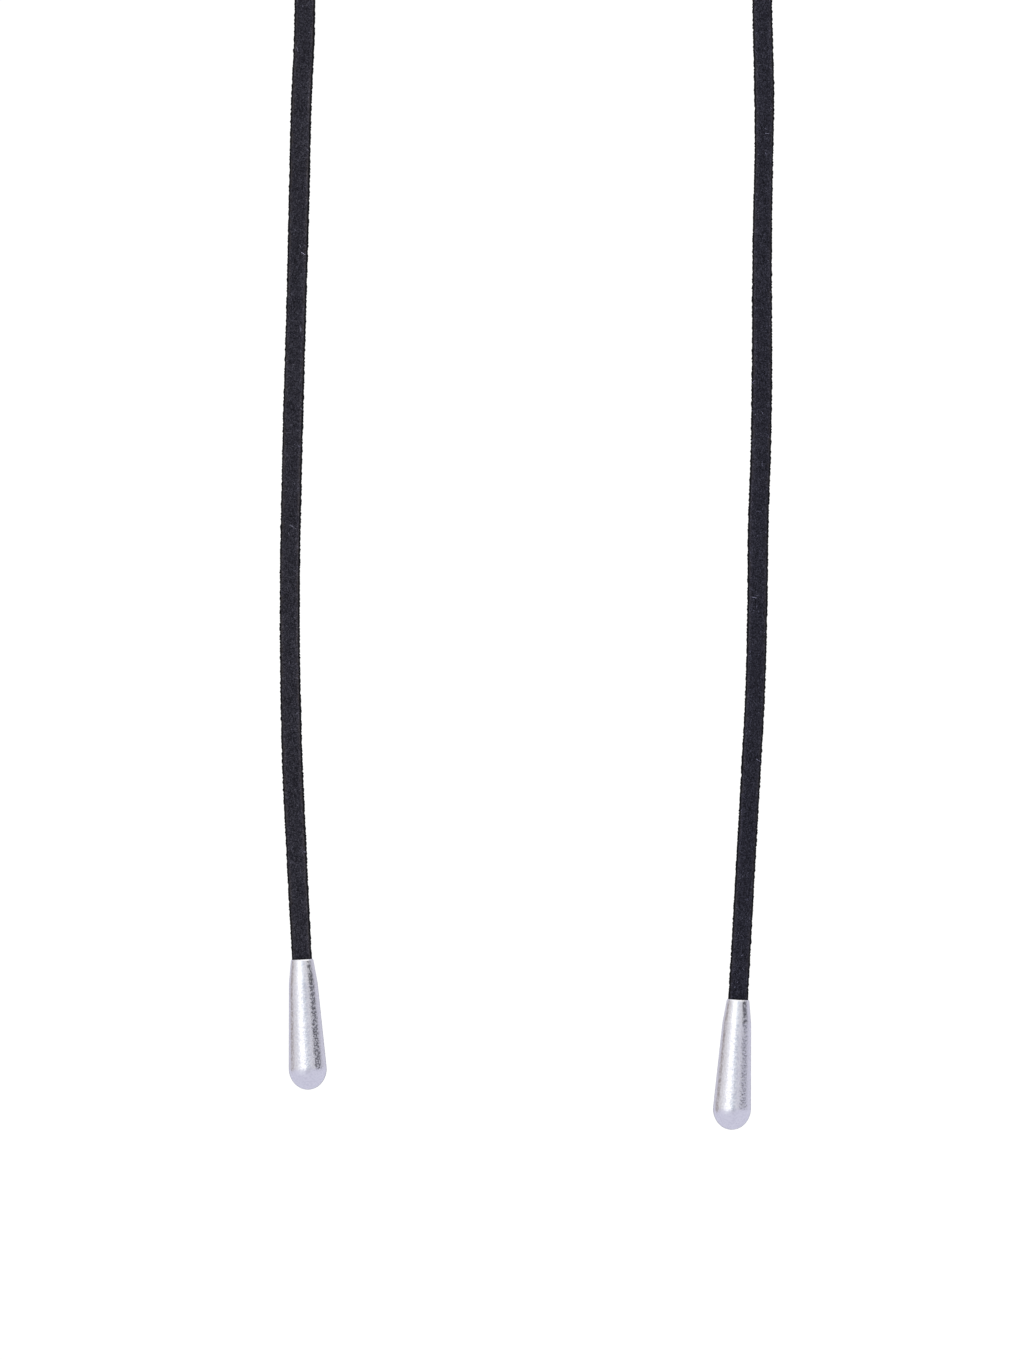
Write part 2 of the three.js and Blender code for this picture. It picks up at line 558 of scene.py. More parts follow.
@dataclass(frozen=True)
class Station:
    """A point of the cord's middle line, in metres, and where its outer face looks there, in degrees.

    A yaw of 0 is backwards, 90 sideways and 180 forwards; lift is above level.
    """

    across: float
    forth: float
    up: float
    yaw: float = 180.0
    lift: float = 0.0

    def place(self, side: Side) -> list[float]:
        """Give the point on one side of the neck."""
        return [side.sign * self.across, self.forth, self.up]

    def facing(self, side: Side) -> list[float]:
        """Give the direction that the outer face looks in.

        Args:
            side: Which side of the neck.

        Returns:
            A vector of length one.
        """
        yaw = math.radians(self.yaw)
        lift = math.radians(self.lift)
        level = math.cos(lift)
        return [side.sign * math.sin(yaw) * level, math.cos(yaw) * level, math.sin(lift)]


NAPE = Station(0.0, 0.00075, 0.0, 0, 0)
NECK_SIDE = [
    Station(0.0240, -0.0035, -0.0015, 20, 6),
    Station(0.0430, -0.0160, -0.0065, 46, 16),
    Station(0.0540, -0.0360, -0.0150, 72, 25),
    Station(0.0570, -0.0580, -0.0275, 96, 31),
    Station(0.0525, -0.0790, -0.0440, 124, 33),
    Station(0.0445, -0.0960, -0.0645, 154, 30),
    Station(0.0374, -0.1075, -0.0885, 175, 22),
]
FREE_ENDS = {
    Side.LEFT: [
        Station(0.0332, -0.1136, -0.1135, lift=10),
        Station(0.03222, -0.1160, -0.1400),
        Station(0.03279, -0.1162, -0.1570),
        Station(0.0332, -0.1163, -0.1750),
        Station(0.03412, -0.1163, -0.2090),
        Station(0.03441, -0.1163, -0.2280),
        Station(0.03413, -0.1163, -0.2480),
        Station(0.03339, -0.1163, -0.2650),
        Station(0.03264, -0.1164, -0.2794),
    ],
    Side.RIGHT: [
        Station(0.0346, -0.1136, -0.1135, lift=10),
        Station(0.03442, -0.1160, -0.1400),
        Station(0.03472, -0.1162, -0.1550),
        Station(0.0344, -0.1163, -0.1770),
        Station(0.03438, -0.1163, -0.1930),
        Station(0.0342, -0.1163, -0.2060),
        Station(0.03382, -0.1163, -0.2170),
        Station(0.0337, -0.1163, -0.2290),
        Station(0.03337, -0.1163, -0.2410),
        Station(0.03276, -0.1163, -0.2525),
        Station(0.0320, -0.1163, -0.2660),
        Station(0.03092, -0.1163, -0.28525),
    ],
}


@dataclass(frozen=True)
class CutWidth:
    """How wide the strip was cut at a height of one of its free ends."""

    up: float
    width: float


CUT_WIDTHS = {
    Side.LEFT: [
        CutWidth(-0.279, 0.00292),
        CutWidth(-0.262, 0.00304),
        CutWidth(-0.256, 0.00308),
        CutWidth(-0.233, 0.00296),
        CutWidth(-0.198, 0.00299),
        CutWidth(-0.181, 0.00296),
        CutWidth(-0.169, 0.00307),
        CutWidth(-0.140, 0.00306),
        CutWidth(-0.130, 0.00300),
    ],
    Side.RIGHT: [
        CutWidth(-0.284, 0.00290),
        CutWidth(-0.262, 0.00288),
        CutWidth(-0.239, 0.00294),
        CutWidth(-0.216, 0.00304),
        CutWidth(-0.192, 0.00302),
        CutWidth(-0.175, 0.00287),
        CutWidth(-0.163, 0.00275),
        CutWidth(-0.152, 0.00298),
        CutWidth(-0.140, 0.00290),
        CutWidth(-0.130, 0.00300),
    ],
}


@dataclass(frozen=True)
class EdgeTone:
    """How the strip's surface looks at a distance in from its cut edge.

    A tone of 1 is the plain face, and less is darker. The edge on the wearer's right was cut paler and has a
    tone of its own. Raw is the share of bare hide that shows.
    """

    inset_mm: float
    tone: float
    inner_tone: float
    raw: float


EDGE_TONES = [
    EdgeTone(0.00, 0.08, 0.08, 0.0),
    EdgeTone(0.23, 0.14, 0.16, 0.1),
    EdgeTone(0.33, 1.43, 1.78, 0.4),
    EdgeTone(0.43, 1.32, 1.64, 0.2),
    EdgeTone(0.70, 1.05, 1.10, 0.0),
    EdgeTone(1.50, 0.97, 0.97, 0.0),
]


@dataclass(frozen=True)
class DyeDepth:
    """How the dye took at a share of the cord's length from the left cap.

    Tone is how pale the face is, cool is how much cooler, and spread is how far the fibres' tones differ.
    """

    share: float
    tone: float
    cool: float
    spread: float


DYE_DEPTHS = [
    DyeDepth(0.00, 0.87, 0.0, 0.62),
    DyeDepth(0.22, 0.85, 0.0, 0.62),
    DyeDepth(0.78, 0.84, 0.5, 0.78),
    DyeDepth(1.00, 0.75, 1.0, 0.78),
]


@dataclass(frozen=True)
class CordFrames:
    """The cord's middle line at a row of places, with its directions there."""

    centre: Array
    along: Array
    wide: Array
    out: Array


@dataclass
class CordRoute:
    """The cord's middle line, from the left cap up, round the back of the neck and down to the right cap.

    The pace is the power of a gap's square that the curve takes as its time, so it follows the gap's root.
    """

    samples: int = 6001
    pace: float = 0.25
    least_pace: float = 1e-4
    points: Array = field(init=False)
    facings: Array = field(init=False)
    shares: Array = field(init=False)
    line: Array = field(init=False)
    run: Array = field(init=False)
    length: float = field(init=False)

    def __post_init__(self) -> None:
        """Lay the stations out and measure the line through them."""
        left = [(station, Side.LEFT) for station in reversed([*NECK_SIDE, *FREE_ENDS[Side.LEFT]])]
        right = [(station, Side.RIGHT) for station in [NAPE, *NECK_SIDE, *FREE_ENDS[Side.RIGHT]]]
        stations = left + right
        self.points = np.array([station.place(side) for station, side in stations])
        self.facings = np.array([station.facing(side) for station, side in stations])
        self.shares = np.linspace(0.0, 1.0, self.samples)
        self.line = self.through(self.points, self.shares)
        steps = np.linalg.norm(np.diff(self.line, axis=0), axis=1)
        self.run = np.concatenate([[0.0], np.cumsum(steps)])
        self.length = float(self.run[-1])

    def through(self, points: Array, shares: Array) -> Array:
        """Follow a smooth curve through points (a centripetal Catmull-Rom spline).

        Args:
            points: The points, one row each.
            shares: Places on it, where 0 is the first point and 1 the last.

        Returns:
            The curve's points.
        """
        before_first = 2 * points[0] - points[1]
        after_last = 2 * points[-1] - points[-2]
        padded = np.concatenate([[before_first], points, [after_last]])
        place = shares * (len(points) - 1)
        first = np.minimum(place.astype(int), len(points) - 2)
        part = (place - first)[:, None]
        a, b, c, d = (padded[first + i] for i in range(4))
        before, middle, after = (
            np.sum((q - p) ** 2, axis=1, keepdims=True) ** self.pace for p, q in ((a, b), (b, c), (c, d))
        )
        middle = np.where(middle < self.least_pace, 1.0, middle)
        before = np.where(before < self.least_pace, middle, before)
        after = np.where(after < self.least_pace, middle, after)
        leave = ((b - a) / before - (c - a) / (before + middle) + (c - b) / middle) * middle
        reach = ((c - b) / middle - (d - b) / (middle + after) + (d - c) / after) * middle
        bend = -3 * b + 3 * c - 2 * leave - reach
        twist = 2 * b - 2 * c + leave + reach
        return b + part * (leave + part * (bend + part * twist))

    def frames(self, at: Array) -> CordFrames:
        """Find the middle line and its directions.

        Args:
            at: Lengths along the cord; past either end the line goes straight on.

        Returns:
            The frames there.
        """
        held = np.clip(at, 0.0, self.length)
        shares = np.interp(held, self.run, self.shares)
        half_sample = 0.5 / self.samples
        ahead = self.through(self.points, np.minimum(shares + half_sample, 1.0))
        behind = self.through(self.points, np.maximum(shares - half_sample, 0.0))
        along = unit(ahead - behind)
        out = self.through(self.facings, shares)
        out = unit(out - along * np.sum(out * along, axis=1, keepdims=True))
        centre = self.through(self.points, shares) + along * (at - held)[:, None]
        return CordFrames(centre, along, np.cross(out, along), out)

    def at_height(self, side: Side, up: float) -> float:
        """Find how far along the cord a height of one free end is.

        Args:
            side: Which end.
            up: The height.

        Returns:
            The length from the left cap.
        """
        half = self.samples // 2
        if side is Side.LEFT:
            return float(np.interp(up, self.line[:half, 2], self.run[:half]))
        return float(np.interp(-up, -self.line[half:, 2], self.run[half:]))


@dataclass(frozen=True)
class Skin:
    """The strip's surface as a grid: one row a place along the cord, one column a place round the section."""

    points: Array
    strip_mm: Array
    tone: Array
    raw: Array
    cool: Array
    spread: Array


@dataclass(frozen=True)
class Unevenness:
    """A seeded unevenness of the strip: its amount, and the length and breadth of its bumps."""

    amount: float
    along_mm: float
    across_mm: float
    seed: int

    def at(self, along_mm: Array, across_mm: Array) -> Array:
        """Give its values at places on the strip, in millimetres along and across."""
        return self.amount * smooth_noise(along_mm / self.along_mm, across_mm / self.across_mm, self.seed)


@dataclass(frozen=True)
class Fibres:
    """The nap's fibres, and the paler bits of lint among them.

    A slant is off the strip's length and a lift off its face, less on dark ground. The root is half of a
    fibre's width; it lies sunk into the face and has risen from there, both in roots. The fibres' mean tone
    is given by its logarithm. Lint is so many times longer and thicker, and has a tone of its own.
    """

    front_per_mm2: float = 30.0
    back_per_mm2: float = 8.0
    length: float = 0.26 * MM
    length_spread: float = 0.35
    root: float = 0.032 * MM
    thinnest: float = 0.7
    thickest: float = 1.2
    sunk: float = 0.5
    risen: float = 1.4
    slant_deg: float = 30.0
    slant_spread_deg: float = 40.0
    least_lift_deg: float = 3.0
    most_lift_deg: float = 15.0
    least_standing: float = 0.3
    log_tone: float = 0.152
    lint_share: float = 0.0022
    lint_length: float = 2.8
    lint_thickness: float = 1.2
    lint_tone: float = 8.0


@dataclass(frozen=True)
class Stretch:
    """A stretch of the cord between two lengths along it, with the cap on its free end if it has one."""

    name: str
    start: float
    end: float
    seed: int
    cap: Side | None = None


@dataclass
class SuedeCord:
    """The flat suede strip: two halves of a neck stretch and two free ends, which look like one strip."""

    route: CordRoute
    finish: DyedSuede
    fibres: Fibres = Fibres()
    width: float = 3.0 * MM
    thickness: float = 1.5 * MM
    bevel_across: float = 0.30 * MM
    bevel_deep: float = 0.26 * MM
    crown: float = 0.03 * MM
    back_columns: int = 6
    bevel_columns: int = 4
    side_columns: int = 2
    front_columns: int = 16
    end_row_step: float = 0.10 * MM
    neck_row_step: float = 0.30 * MM
    top_of_ends: float = -130 * MM
    tuck: float = 2.5 * MM
    squeeze_length: float = 1.4 * MM
    mouth_width: float = 2.94 * MM
    mouth_thickness: float = 1.30 * MM
    mouth_fit: float = 1.50 * MM
    mouth_shade_length: float = 0.3 * MM
    mouth_shade: float = 0.6
    mouth_raw: float = 0.3
    left_edge_row: float = 90.5
    right_edge_row: float = 3.5
    wander: Unevenness = Unevenness(0.012, 1.2, 1.0, seed=11)
    fray: Unevenness = Unevenness(0.090, 0.19, 1.0, seed=12)
    nicks: Unevenness = Unevenness(1.0, 1.1, 1.0, seed=13)
    nick_from: float = 0.5
    nick_depth: float = 0.12
    pile: Unevenness = Unevenness(0.026, 0.4, 0.32, seed=14)
    waves: Unevenness = Unevenness(0.022, 1.6, 1.0, seed=15)
    blotches: Unevenness = Unevenness(0.12, 0.6, 0.6, seed=16)
    raw_patches: Unevenness = Unevenness(0.8, 0.9, 1.0, seed=17)

    def section(self) -> Array:
        """Draw the strip's section: flat faces, bevelled corners and cut sides.

        Returns:
            The outline's points in shares of the half width and half thickness.
        """
        x = 1 - self.bevel_across / (self.width / 2)
        y = 1 - self.bevel_deep / (self.thickness / 2)
        corners = np.array([(-x, -1), (x, -1), (1, -y), (1, y), (x, 1), (-x, 1), (-1, y), (-1, -y)])
        bevel, side = self.bevel_columns, self.side_columns
        counts = (self.back_columns, bevel, side, bevel, self.front_columns, bevel, side, bevel)
        runs = []
        for start, end, count in zip(corners, np.roll(corners, -1, axis=0), counts):
            part = np.arange(count)[:, None] / count
            runs.append(start + part * (end - start))
        outline = np.concatenate(runs)
        # Each point goes halfway to the middle of its neighbours, which softens the corners.
        return 0.5 * outline + 0.25 * (np.roll(outline, 1, 0) + np.roll(outline, -1, 0))

    def cut_width(self, at: Array, centre: Array) -> Array:
        """Find how wide the strip is.

        Args:
            at: Lengths along the cord.
            centre: The middle line there.

        Returns:
            The widths.
        """
        width = np.full(len(at), self.width)
        for side, rows in CUT_WIDTHS.items():
            past_top = side.sign * (at - self.route.at_height(side, self.top_of_ends)) > 0
            (width[past_top],) = read_table(rows, centre[past_top, 2])
        return width

    def surface(self, at: Array) -> Skin:
        """Shape the strip's skin with its uneven cut and its nap.

        Args:
            at: Lengths along the cord, one for each row of points.

        Returns:
            The skin.
        """
        line = self.route.frames(at)
        outline = self.section()
        across, deep = outline.T
        to_tip = np.minimum(at, self.route.length - at)
        squeezed = smooth_step(1 - to_tip / self.squeeze_length)[:, None]
        width = self.cut_width(at, line.centre)[:, None]
        width = width + squeezed * (self.mouth_width - width)
        thickness = self.thickness + squeezed * (self.mouth_thickness - self.thickness)
        x = across * width / 2
        y = deep * thickness / 2
        y = y + self.crown * np.sign(y) * (1 - across**2)
        steps = np.linalg.norm(np.diff(outline * [self.width, self.thickness], axis=0), axis=1) / 2
        around = np.concatenate([[0.0], np.cumsum(steps)])
        u, v = np.meshgrid(at / MM, around / MM, indexing="ij")

        inset = (1 - np.abs(across)) * self.width / 2
        edge = np.sign(across) * np.clip(1 - inset / self.bevel_across, 0, 1)
        row = np.where(edge > 0, self.right_edge_row, self.left_edge_row)
        nick = np.maximum(self.nicks.at(u, row) - self.nick_from, 0.0)
        cut = self.wander.at(u, row) + self.fray.at(u, row) - self.nick_depth * nick
        x = x + edge * cut * (1 - squeezed) * MM
        pile = self.pile.at(u, v) + self.waves.at(u, v)
        y = y + np.sign(deep) * (1 - np.abs(edge)) * pile * MM
        fitted = 1 - squeezed * (1 - np.minimum(1.0, self.mouth_fit / np.hypot(x, y)))
        x = (x * fitted)[..., None]
        y = (y * fitted)[..., None]

        outer, inner, raw = read_table(EDGE_TONES, inset / MM)
        dye, cool, spread = read_table(DYE_DEPTHS, at / self.route.length)
        tone = np.where(across < 0, inner, outer) * dye[:, None] * (1 + self.blotches.at(u, v))
        mouth = smooth_step(1 - np.abs(to_tip + SEAT_GAP) / self.mouth_shade_length)[:, None]
        return Skin(
            points=line.centre[:, None] + x * line.wide[:, None] + y * line.out[:, None],
            strip_mm=np.stack([u, v, np.zeros_like(u)], axis=-1),
            tone=tone * (1 - self.mouth_shade * mouth),
            raw=np.clip(raw * (1 + self.raw_patches.at(u, v)) + self.mouth_raw * mouth, 0, 1),
            cool=np.repeat(cool[:, None], len(outline), axis=1),
            spread=spread,
        )

    def nap(self, skin: Skin, rng: np.random.Generator) -> dict[str, Array]:
        """Grow the nap: short tapered fibres that lie on the slant, and a few paler bits of lint.

        Args:
            skin: The surface that they grow on.
            rng: The seeded source of chance.

        Returns:
            The fibres' points, faces, strip coordinates, tone, rawness and coolness.
        """
        fibres = self.fibres
        rows = len(skin.points)
        along = unit(np.gradient(skin.points, axis=0))
        around = unit(np.gradient(skin.points, axis=1))
        outward = unit(np.cross(around, along))
        start_mm = skin.strip_mm[0, 0, 0]
        length_mm = skin.strip_mm[-1, 0, 0] - start_mm
        area_mm2 = length_mm * (self.width - 2 * self.bevel_across) / MM
        on_front = int(fibres.front_per_mm2 * area_mm2)
        on_back = int(fibres.back_per_mm2 * area_mm2)
        count = on_front + on_back
        # Half a row is left bare at each end.
        i = rng.uniform(0.5, rows - 1.5, count)
        front_start = self.back_columns + 2 * self.bevel_columns + self.side_columns
        front_places = front_start + rng.uniform(0, self.front_columns, on_front)
        j = np.concatenate([front_places, rng.uniform(0, self.back_columns, on_back)])
        row, column = i.astype(int), j.astype(int)

        foot = read_grid(skin.points, i, j)
        up = unit(read_grid(outward, i, j))
        ahead = unit(read_grid(along, i, j))
        aside = np.cross(up, ahead)
        ground = read_grid(skin.tone[..., None], i, j)
        standing = np.clip(ground, fibres.least_standing, 1.0)
        slant = np.radians(rng.normal(fibres.slant_deg, fibres.slant_spread_deg, count))[:, None]
        lift = np.radians(rng.uniform(fibres.least_lift_deg, fibres.most_lift_deg, count))[:, None] * standing
        # Half of the fibres lie each way along the strip.
        way = np.where(rng.random(count) < 0.5, 1.0, -1.0)[:, None]
        flat = ahead * np.cos(slant) * way + aside * np.sin(slant) * way
        lint = rng.random(count) < fibres.lint_share
        reach = fibres.length * rng.lognormal(0.0, fibres.length_spread, count)
        reach = np.where(lint, fibres.lint_length * reach, reach)[:, None]
        thickness = rng.uniform(fibres.thinnest, fibres.thickest, count)
        root = fibres.root * (np.where(lint, fibres.lint_thickness, 1.0) * thickness)[:, None]
        tip = foot + reach * (flat * np.cos(lift) + up * np.sin(lift))
        cross = np.cross(flat, up)
        base = foot - fibres.sunk * root * up
        corners = [base + root * cross, base - root * cross, base + fibres.risen * root * up, tip]
        spread = skin.spread[row]
        shade = rng.lognormal(fibres.log_tone - spread**2 / 2, spread)
        tone = ground[:, 0] * np.where(lint, fibres.lint_tone, shade)

        turns = np.array([[0, 1, 2], [1, 0, 3], [0, 2, 3], [2, 1, 3]])
        first = len(corners) * np.arange(count)[:, None, None]
        along_mm = length_mm * i / rows + start_mm
        places = np.column_stack([along_mm, skin.strip_mm[0, column, 1], np.zeros(count)])
        return {
            "points": np.stack(corners, axis=1),
            "faces": (first + turns).reshape(-1, 3),
            "strip_mm": np.repeat(places, len(corners), axis=0),
            "tone": np.repeat(tone, len(corners)),
            "raw": np.zeros(len(corners) * count),
            "cool": np.repeat(skin.cool[row, 0], len(corners)),
        }

    def strip(self, stretch: Stretch, material: Material) -> Object:
        """Make one stretch of the strip.

        Args:
            stretch: Which stretch.
            material: The suede.

        Returns:
            The piece.
        """
        row_step = self.end_row_step if stretch.cap else self.neck_row_step
        spaces = int(round((stretch.end - stretch.start) / row_step))
        skin = self.surface(np.linspace(stretch.start, stretch.end, spaces + 1))
        rows, columns = skin.tone.shape
        number = np.arange(rows * columns).reshape(rows, columns)
        beside = np.roll(number, -1, axis=1)
        walls = np.stack([number[:-1], beside[:-1], beside[1:], number[1:]], axis=-1).reshape(-1, 4)
        parts = MeshParts()
        parts.add(skin.points, walls, strip_mm=skin.strip_mm, tone=skin.tone, raw=skin.raw, cool=skin.cool)
        for row, turn in ((0, -1), (rows - 1, 1)):
            ring = np.arange(columns)[::turn]
            fan = np.column_stack([np.full(columns, columns), ring, np.roll(ring, -1)])
            points, places = (
                np.vstack([grid[row], grid[row].mean(axis=0)]) for grid in (skin.points, skin.strip_mm)
            )
            bare = np.ones(columns + 1)
            parts.add(points, fan, strip_mm=places, tone=bare, raw=bare, cool=1 - bare)
        parts.add(**self.nap(skin, np.random.default_rng(stretch.seed)))
        return parts.piece(stretch.name, material)

    def declare(self, piece: Object, stretch: Stretch, cap: Object) -> None:
        """Declare a free end as a hanging cord.

        Args:
            piece: The free end.
            stretch: Its stretch of the cord.
            cap: The cap on it.
        """
        length = stretch.end - stretch.start
        spaces = int(round(length / self.width))
        path = self.route.frames(np.linspace(stretch.start, stretch.end, spaces + 1)).centre
        path = path[:: stretch.cap.sign]
        kind = {"far_end": "fitting", "stiffness": "limp", "lay": "hanging"}
        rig.cord(piece, exit=path[0], length=length, diameter=self.width, path=path, with_pieces=[cap], **kind)

    def build(self, caps: dict[Side, Object]) -> list[Object]:
        """Make the whole cord and declare its free ends.

        Args:
            caps: The cap on each free end.

        Returns:
            The pieces.
        """
        material = self.finish.material()
        left, right = (self.route.at_height(side, self.top_of_ends) for side in Side)
        nape = (left + right) / 2
        tip = self.route.length + self.tuck
        pieces = []
        for stretch in (
            Stretch("cord_neck_left", left, nape, seed=21),
            Stretch("cord_neck_right", nape, right, seed=22),
            Stretch("cord_end_left", -self.tuck, left, seed=23, cap=Side.LEFT),
            Stretch("cord_end_right", right, tip, seed=24, cap=Side.RIGHT),
        ):
            piece = self.strip(stretch, material)
            if stretch.cap:
                self.declare(piece, stretch, caps[stretch.cap])
            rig.ride(piece, "root")
            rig.replaces(piece, "suede_cord")
            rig.slot(piece, Slot.SUEDE.value)
            pieces.append(piece)
        return pieces


@dataclass
class EndCaps:
    """The two turned caps: a chamfered mouth, a steep collar, a slim cone, a straight band and a round end.

    The eases round the chamfer's two edges, in shares of its depth and width.
    """

    route: CordRoute
    finish: TumbledAluminium
    length: float = 19.0 * MM
    mouth_radius: float = 1.66 * MM
    chamfer: float = 0.20 * MM
    chamfer_across: float = 0.09 * MM
    collar_ease: float = 0.2
    lip_ease: float = 0.08
    lip_depth: float = 0.95
    rim_ease: float = 0.12
    socket_radius: float = 1.53 * MM
    socket_depth: float = 7.0 * MM
    collar_length: float = 3.45 * MM
    collar_radius: float = 2.09 * MM
    collar_turned: float = 0.35
    crease: float = 0.05 * MM
    ball_radius: float = 2.76 * MM
    ball_height: float = 3.1 * MM
    ball_smooth: float = 0.8
    ball_smooth_over: float = 0.6 * MM
    band_length: float = 0.1 * MM
    sides: int = 96
    ball_steps: int = 18
    ring_step: float = 0.4 * MM

    def profile(self) -> Array:
        """Draw half of the cap's section, from the round end up the outside and down into the socket.

        Returns:
            Rows of radius and depth below the mouth.
        """
        centre = self.length - self.ball_height
        turn = np.linspace(0.0, math.pi / 2, self.ball_steps + 1)
        ball = np.column_stack([self.ball_radius * np.sin(turn), centre + self.ball_height * np.cos(turn)])
        ball[0, 0] = 0.0
        band_top = centre - self.band_length
        slope = (self.ball_radius - self.collar_radius) / (band_top - self.collar_length)
        collar_slope = (self.collar_radius - self.mouth_radius) / self.collar_length
        collar_top = self.collar_ease * self.chamfer
        rim_radius = self.mouth_radius - self.chamfer_across
        corners = [
            (self.ball_radius, band_top + self.crease),
            (self.ball_radius - self.crease * slope, band_top - self.crease),
            (self.collar_radius + self.crease * slope, self.collar_length + self.crease),
            (self.collar_radius - self.crease * collar_slope, self.collar_length - self.crease),
            (self.mouth_radius + collar_top * collar_slope, self.chamfer + collar_top),
            (self.mouth_radius - self.lip_ease * self.chamfer_across, self.lip_depth * self.chamfer),
            (rim_radius + self.rim_ease * self.chamfer_across, self.rim_ease * self.chamfer),
            (rim_radius, 0.0),
            (self.socket_radius, 0.0),
            (self.socket_radius, self.socket_depth),
            (0.0, self.socket_depth),
        ]
        rows = [ball]
        last = ball[-1]
        for corner in np.array(corners):
            count = max(1, int(np.linalg.norm(corner - last) / self.ring_step))
            part = np.arange(1, count + 1)[:, None] / count
            rows.append(last + part * (corner - last))
            last = corner
        return np.concatenate(rows)

    def cap(self, side: Side, material: Material) -> Object:
        """Turn one cap on its end of the cord.

        Args:
            side: Which end.
            material: The metal.

        Returns:
            The piece.
        """
        tip = 0.0 if side is Side.LEFT else self.route.length
        line = self.route.frames(np.array([tip]))
        outward = side.sign * line.along[0]
        wide = line.wide[0]
        thick = np.cross(outward, wide)
        mouth = line.centre[0] + SEAT_GAP * outward
        profile = self.profile()
        radius, height = profile[1:-1, :1], profile[1:-1, 1:]
        turn = np.arange(self.sides) * 2 * math.pi / self.sides
        rings = [radius * np.cos(turn), radius * np.sin(turn), np.repeat(height, self.sides, axis=1)]
        poles = np.array([[0.0, 0.0, profile[0, 1]], [0.0, 0.0, profile[-1, 1]]])
        local = np.vstack([np.stack(rings, axis=-1).reshape(-1, 3), poles])
        points = mouth + local @ np.array([wide, thick, outward])

        number = np.arange(radius.size * self.sides).reshape(-1, self.sides)
        beside = np.roll(number, -1, axis=1)
        walls = np.stack([number[:-1], number[1:], beside[1:], beside[:-1]], axis=-1).reshape(-1, 4)
        bottom = np.column_stack([np.full(self.sides, len(local) - 2), number[0], beside[0]])
        floor = np.column_stack([np.full(self.sides, len(local) - 1), beside[-1], number[-1]])
        depth = local[:, 2]
        collar = smooth_step((self.collar_length - depth) / (2 * self.crease) + 0.5)
        ball = smooth_step((depth - self.length + self.ball_height) / self.ball_smooth_over)
        turned = self.collar_turned * collar
        tumbled = 1 - turned - self.ball_smooth * ball
        parts = MeshParts()
        parts.add(points, walls, cap_mm=local / MM, tumbled=tumbled, turned=turned)
        parts.faces.extend([*bottom.tolist(), *floor.tolist()])
        piece = parts.piece(f"cap_{side.value}", material)
        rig.ride(piece, "root")
        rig.replaces(piece, f"{side.value}_end_cap")
        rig.slot(piece, Slot.CAP_METAL.value)
        return piece

    def build(self) -> dict[Side, Object]:
        """Make both caps."""
        material = self.finish.material()
        return {side: self.cap(side, material) for side in Side}


@dataclass(frozen=True)
class StudioBand:
    """A stretch of the studio's walls, seen from the choker.

    Its two edges are turns to the right of the camera, in degrees. Its foot is how far above level it starts,
    in degrees, and its strength is how many times brighter than its colour it is.
    """

    start: float
    end: float
    colour: str
    foot: float
    strength: float = 1.0


STUDIO_WALLS = [
    StudioBand(-180, -172, "#60606c", -2.0),
    StudioBand(-166, -126, "#dadae8", -2.0),
    StudioBand(-116, -101, "#9f9693", -13.0),
    StudioBand(-88, -68, "#e3e1e4", -6.0),
    StudioBand(-60, -50, "#f0f2f8", -5.0),
    StudioBand(-36, -17, "#ffffff", -4.0, strength=1.75),
    StudioBand(-3, 5, "#e2eefa", -3.0),
    StudioBand(12, 26, "#ccced9", -2.0),
    StudioBand(30, 44, "#e8e8ee", -2.0),
    StudioBand(48, 92, "#202028", -1.3),
    StudioBand(102, 166, "#d4d3e0", 0.0),
    StudioBand(172, 180, "#60606c", 0.0),
]


@dataclass(frozen=True)
class FloorStreak:
    """A streak on the studio's floor that the caps mirror, strongest at the foot of the walls.

    Its middle is a turn to the right of the camera, in degrees, and so is its half width.
    """

    middle: float
    half_width: float
    colour: str
    strength: float


FLOOR_STREAKS = [
    FloorStreak(-33, 27, "#f4fafe", 1.15),
    FloorStreak(6, 18, "#a0a0aa", 1.0),
]


